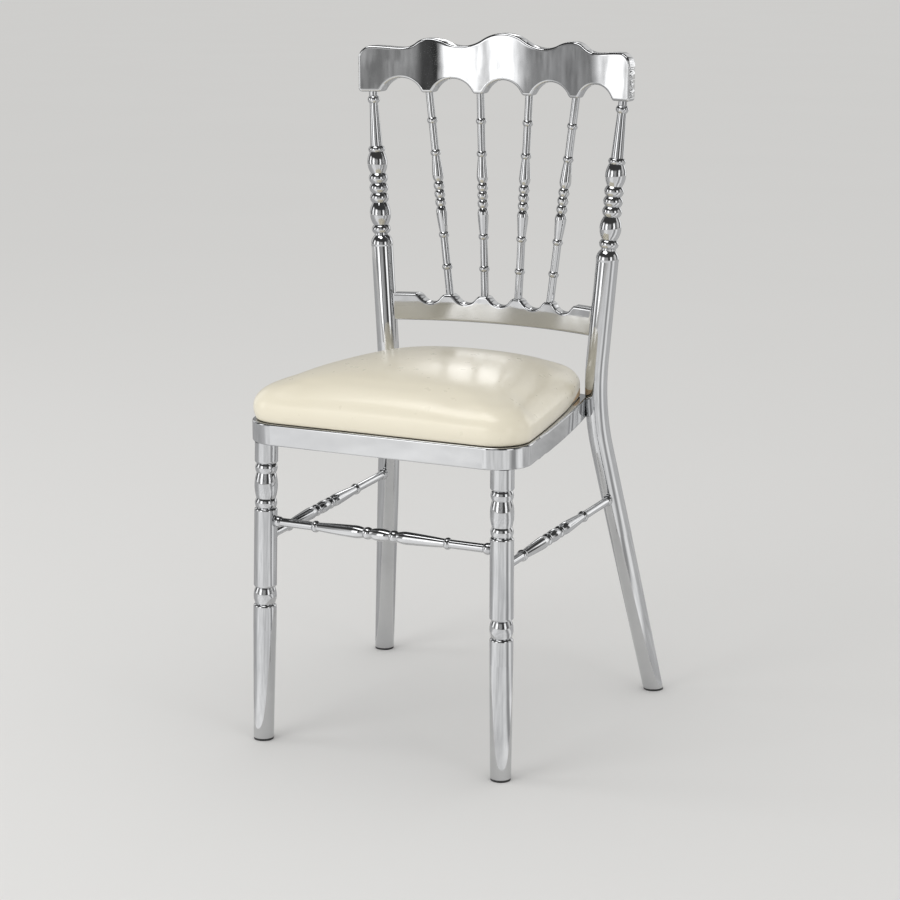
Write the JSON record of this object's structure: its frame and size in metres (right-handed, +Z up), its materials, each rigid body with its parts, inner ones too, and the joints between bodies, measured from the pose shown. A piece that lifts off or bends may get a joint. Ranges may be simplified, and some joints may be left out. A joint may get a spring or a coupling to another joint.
{
  "type": "dining chair",
  "caption": "Chromed metal dining chair with beaded tube legs, scalloped crest and back rails, turned spindles, turned stretchers and a domed lift-off vinyl seat pad.",
  "frame": {"origin": "on the floor, at the middle of the chair's footprint", "axes": "+Z up from the floor to the crest rail; the front of the seat faces -Y; +X is to the right for someone who looks at the front"},
  "size_m": [0.4516, 0.4431, 0.9],
  "materials": {
    "chrome": "polished chrome plating",
    "plated_steel": "zinc-plated plate",
    "hook_tape": "moulded hooks",
    "loop_tape": "napped loops",
    "ivory_vinyl": "satin vinyl upholstery",
    "foam": "open-cell foam",
    "plywood": "raw plywood",
    "dust_cloth": "non-woven cloth",
    "glide_plastic": "moulded nylon"
  },
  "bodies": {
    "frame": {"front_leg_left": "chrome", "front_leg_right": "chrome", "back_post_left": "chrome", "back_post_right": "chrome", "crest_rail": "chrome", "lower_back_rail": "chrome", "spindle_1": "chrome", "spindle_2": "chrome", "spindle_3": "chrome", "spindle_4": "chrome", "front_stretcher": "chrome", "side_stretcher_left": "chrome", "side_stretcher_right": "chrome", "seat_ring": "chrome", "seat_support_tabs": "plated_steel", "hook_discs": "hook_tape", "glide_front_left": "glide_plastic", "glide_front_right": "glide_plastic", "glide_rear_left": "glide_plastic", "glide_rear_right": "glide_plastic"},
    "seat_pad": {"seat_cover": "ivory_vinyl", "seat_foam": "foam", "seat_board": "plywood", "dust_cover": "dust_cloth", "loop_discs": "loop_tape"}
  },
  "joints": [
    {"name": "pad_lift", "type": "slide", "parent": "frame", "child": "seat_pad", "axis": [0, 0, 1], "range_m": [0, 0.04]}
  ]
}
